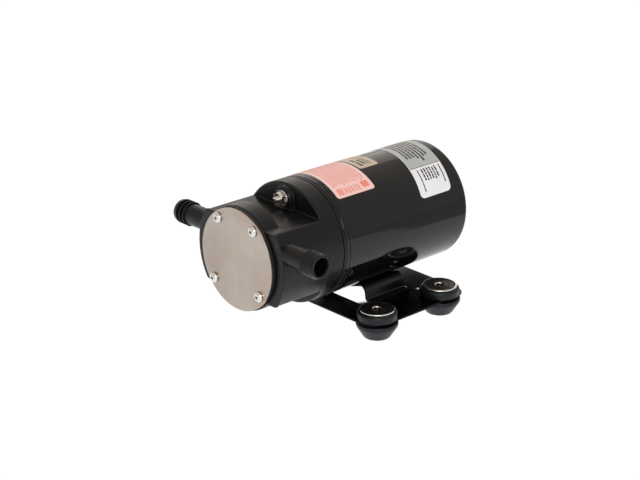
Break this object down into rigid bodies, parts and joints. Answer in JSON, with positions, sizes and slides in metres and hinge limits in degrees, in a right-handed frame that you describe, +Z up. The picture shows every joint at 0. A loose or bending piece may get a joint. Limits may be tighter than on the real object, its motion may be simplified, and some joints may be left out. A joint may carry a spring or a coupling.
{
  "type": "bilge pump",
  "caption": "Self-priming impeller bilge pump: moulded head with two opposed hose barbs and a steel cover, on a tubular black motor with a rubber-footed base.",
  "frame": {"origin": "middle of the bounding box's bottom face, on the surface that the feet stand on", "axes": "+Z up, +Y along the motor's axis from the cover plate to the motor's rear, +X towards the right hose port seen from behind the cover"},
  "size_m": [0.166, 0.2168, 0.1253],
  "materials": {
    "cover_steel": "satin stainless sheet with a faint grain",
    "fastener_steel": "bright plated steel",
    "sleeve_steel": "dull plated steel with bright rims",
    "body_plastic": "black moulded plastic, semi-gloss",
    "motor_enamel": "gloss black enamel",
    "base_enamel": "black enamel, satin",
    "seal_rubber": "moulded nitrile rubber",
    "foot_rubber": "moulded rubber, satin",
    "brass": "machined",
    "copper": "varnished copper",
    "carbon": "pressed carbon",
    "ferrite": "sintered ferrite",
    "lamination_iron": "stacked laminations",
    "fibre_board": "phenolic board",
    "label_red": "printed red label",
    "label_tan": "printed beige label",
    "label_white": "printed white label"
  },
  "bodies": {
    "housing": {"cover_plate": "cover_steel", "cover_gasket": "seal_rubber", "pump_body": "body_plastic", "cam": "body_plastic", "wear_plate": "cover_steel", "shaft_seal": "seal_rubber", "motor_gasket": "seal_rubber", "front_end_bell": "motor_enamel", "motor_shell": "motor_enamel", "front_bearing": "fastener_steel", "rear_bearing": "fastener_steel", "magnet_right": "ferrite", "magnet_left": "ferrite", "brush_plate": "fibre_board", "cable_grommet": "foot_rubber", "rating_label": "label_red", "approval_label": "label_tan", "wiring_label": "label_white", "base_plate": "base_enamel", "motor_saddle": "base_enamel", "cover_screw_1": "fastener_steel", "cover_screw_2": "fastener_steel", "cover_screw_3": "fastener_steel", "cover_screw_4": "fastener_steel", "brush_right": "carbon", "brush_holder_right": "brass", "brush_spring_right": "fastener_steel", "brush_left": "carbon", "brush_holder_left": "brass", "brush_spring_left": "fastener_steel", "tie_bolt_top": "fastener_steel", "stud_nut_top": "fastener_steel", "stud_washer_top": "fastener_steel", "tie_bolt_bottom": "fastener_steel", "stud_nut_bottom": "fastener_steel", "stud_washer_bottom": "fastener_steel", "saddle_screw_1": "fastener_steel", "saddle_screw_2": "fastener_steel", "rubber_foot_1": "foot_rubber", "foot_sleeve_1": "sleeve_steel", "rubber_foot_2": "foot_rubber", "foot_sleeve_2": "sleeve_steel", "rubber_foot_3": "foot_rubber", "foot_sleeve_3": "sleeve_steel", "rubber_foot_4": "foot_rubber", "foot_sleeve_4": "sleeve_steel"},
    "rotor": {"drive_shaft": "fastener_steel", "armature_core": "lamination_iron", "windings": "copper", "commutator": "copper", "impeller": "seal_rubber", "impeller_bush": "brass", "drive_pin": "fastener_steel", "slinger": "seal_rubber"}
  },
  "joints": [
    {"name": "rotor_spin", "type": "hinge", "parent": "housing", "child": "rotor", "pos_m": [0, 0, 0.0747], "axis": [0, 1, 0], "continuous": true, "deforming": ["impeller"]}
  ]
}
